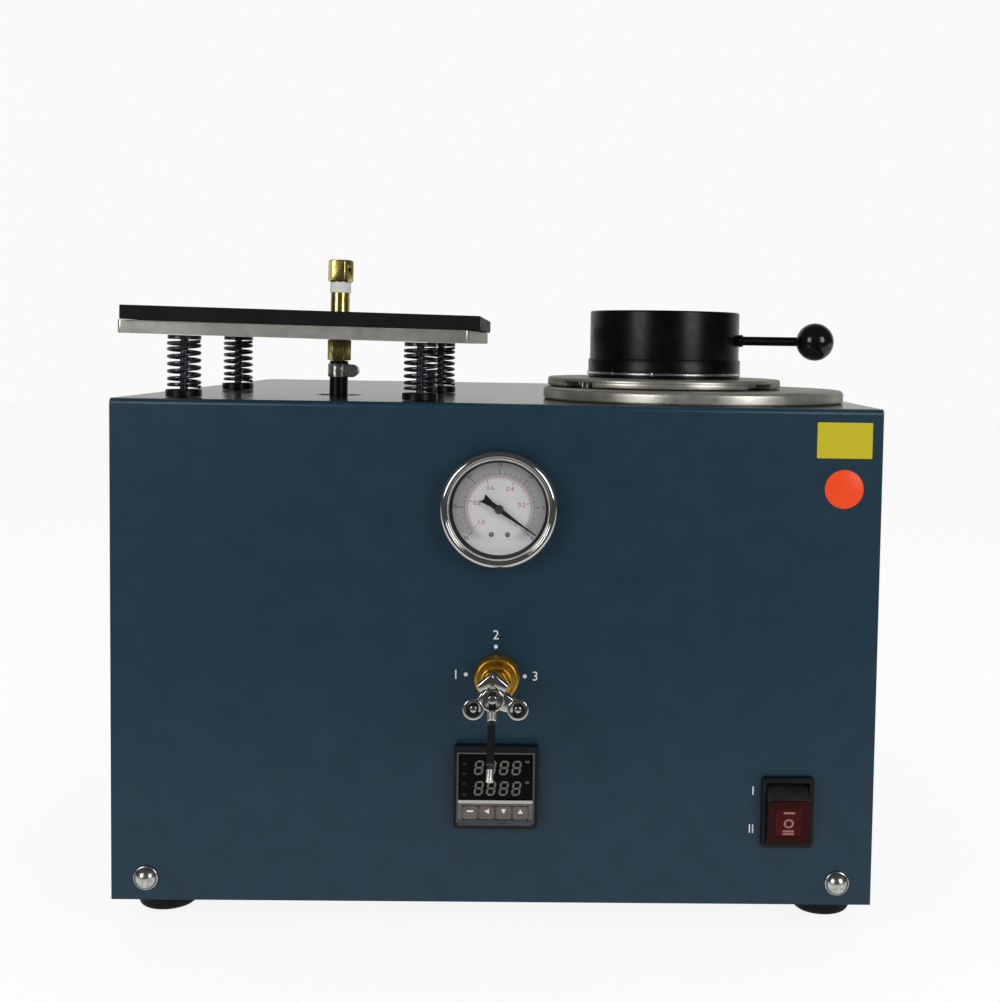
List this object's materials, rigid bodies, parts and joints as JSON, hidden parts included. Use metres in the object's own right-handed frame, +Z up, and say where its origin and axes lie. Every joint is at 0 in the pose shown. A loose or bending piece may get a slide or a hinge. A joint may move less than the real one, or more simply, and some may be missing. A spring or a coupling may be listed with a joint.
{
  "type": "gold melting furnace",
  "caption": "Bench-top cabinet with a sprung vacuum table, a swinging crucible pot over a casting flange, a vacuum gauge, a valve, a controller and a rocker switch.",
  "frame": {"origin": "on the floor under the middle of the overall box", "axes": "+Z up, -Y towards the person in front of the panel, +X to the right seen from the front"},
  "size_m": [0.44, 0.5242, 0.3928],
  "materials": {
    "blue_paint": "fine textured powder coat",
    "stainless": "bright rolled",
    "zinc_steel": "zinc plated",
    "aluminium": "satin machined",
    "chrome": "polished",
    "brass": "polished",
    "amber_brass": "lacquered",
    "black_rubber": "moulded",
    "silicone": "moulded",
    "black_steel": "black satin",
    "black_plastic": "moulded",
    "gloss_black": "polished",
    "grey_keys": "soft",
    "red_plastic": "translucent",
    "dial_white": "printed",
    "clear_glass": "clear",
    "refractory": "cast",
    "ceramic": "fired",
    "graphite": "machined graphite",
    "cast_grey": "painted casting",
    "copper_winding": "varnished"
  },
  "bodies": {
    "cabinet": {"base_plate": "zinc_steel", "cabinet_wrap": "blue_paint", "casting_flange": "aluminium", "chamber_can": "stainless", "chamber_gasket": "silicone", "controller_body": "black_plastic", "controller_window": "gloss_black", "foot_front_left": "black_rubber", "foot_front_right": "black_rubber", "foot_rear_left": "black_rubber", "foot_rear_right": "black_rubber", "front_panel": "blue_paint", "gauge_bezel": "chrome", "gauge_case": "black_steel", "gauge_dial": "dial_white", "gauge_lens": "clear_glass", "heater_transformer": "copper_winding", "panel_screw_left": "chrome", "panel_screw_right": "chrome", "pivot_screw": "chrome", "power_inlet": "black_plastic", "spring_cup_front_left": "black_rubber", "spring_cup_front_right": "black_rubber", "spring_cup_rear_left": "black_rubber", "spring_cup_rear_right": "black_rubber", "spring_front_left": "black_steel", "spring_front_right": "black_steel", "spring_rear_left": "black_steel", "spring_rear_right": "black_steel", "switch_frame": "black_plastic", "top_plate": "stainless", "vacuum_pump": "cast_grey", "valve_body": "amber_brass"},
    "table": {"table_plate": "aluminium", "table_pad": "black_rubber", "guide_rod_front_left": "black_steel", "guide_rod_front_right": "black_steel", "guide_rod_rear_left": "black_steel", "guide_rod_rear_right": "black_steel", "stem_tube": "brass", "stem_cap": "brass", "stem_fitting": "brass", "hose_clamp": "zinc_steel", "table_hose": "black_rubber"},
    "melting_pot": {"swivel_plate": "aluminium", "pot_shell": "black_steel", "pot_seam_ring": "stainless", "pot_lining": "refractory", "heater_sleeve": "ceramic", "crucible": "graphite", "handle_rod": "black_steel", "ball_knob": "gloss_black"},
    "valve_lever": {"valve_handle": "chrome", "valve_lever": "chrome"},
    "pointer": {"gauge_pointer": "black_steel"},
    "rocker": {"switch_rocker": "red_plastic"},
    "set_key": {"key_set": "grey_keys"},
    "shift_key": {"key_shift": "grey_keys"},
    "down_key": {"key_down": "grey_keys"},
    "up_key": {"key_up": "grey_keys"}
  },
  "joints": [
    {"name": "table_float", "type": "slide", "parent": "cabinet", "child": "table", "axis": [0, 0, 1], "range_m": [-0.008, 0], "stiffness_N_per_m": 6000, "springref_m": 0.004, "deforming": ["spring_front_left", "spring_front_right", "spring_rear_left", "spring_rear_right"]},
    {"name": "pot_swing", "type": "hinge", "parent": "cabinet", "child": "melting_pot", "pos_m": [0.1005, -0.01756, 0.3154], "axis": [0, 0, 1], "range_deg": [0, 150]},
    {"name": "valve_turn", "type": "hinge", "parent": "cabinet", "child": "valve_lever", "pos_m": [0.001, -0.22756, 0.1515], "axis": [0, -1, 0], "range_deg": [-90, 90]},
    {"name": "pointer_turn", "type": "hinge", "parent": "cabinet", "child": "pointer", "pos_m": [0.001, -0.18676, 0.248], "axis": [0, -1, 0], "range_deg": [-7, 253], "stiffness_Nm_per_rad": 0.002},
    {"name": "rocker_tip", "type": "hinge", "parent": "cabinet", "child": "rocker", "pos_m": [0.1698, -0.17056, 0.0734], "axis": [-1, 0, 0], "range_deg": [0, 24]},
    {"name": "set_press", "type": "slide", "parent": "cabinet", "child": "set_key", "axis": [0, 1, 0], "range_m": [0, 0.0006], "stiffness_N_per_m": 400},
    {"name": "shift_press", "type": "slide", "parent": "cabinet", "child": "shift_key", "axis": [0, 1, 0], "range_m": [0, 0.0006], "stiffness_N_per_m": 400},
    {"name": "down_press", "type": "slide", "parent": "cabinet", "child": "down_key", "axis": [0, 1, 0], "range_m": [0, 0.0006], "stiffness_N_per_m": 400},
    {"name": "up_press", "type": "slide", "parent": "cabinet", "child": "up_key", "axis": [0, 1, 0], "range_m": [0, 0.0006], "stiffness_N_per_m": 400}
  ]
}
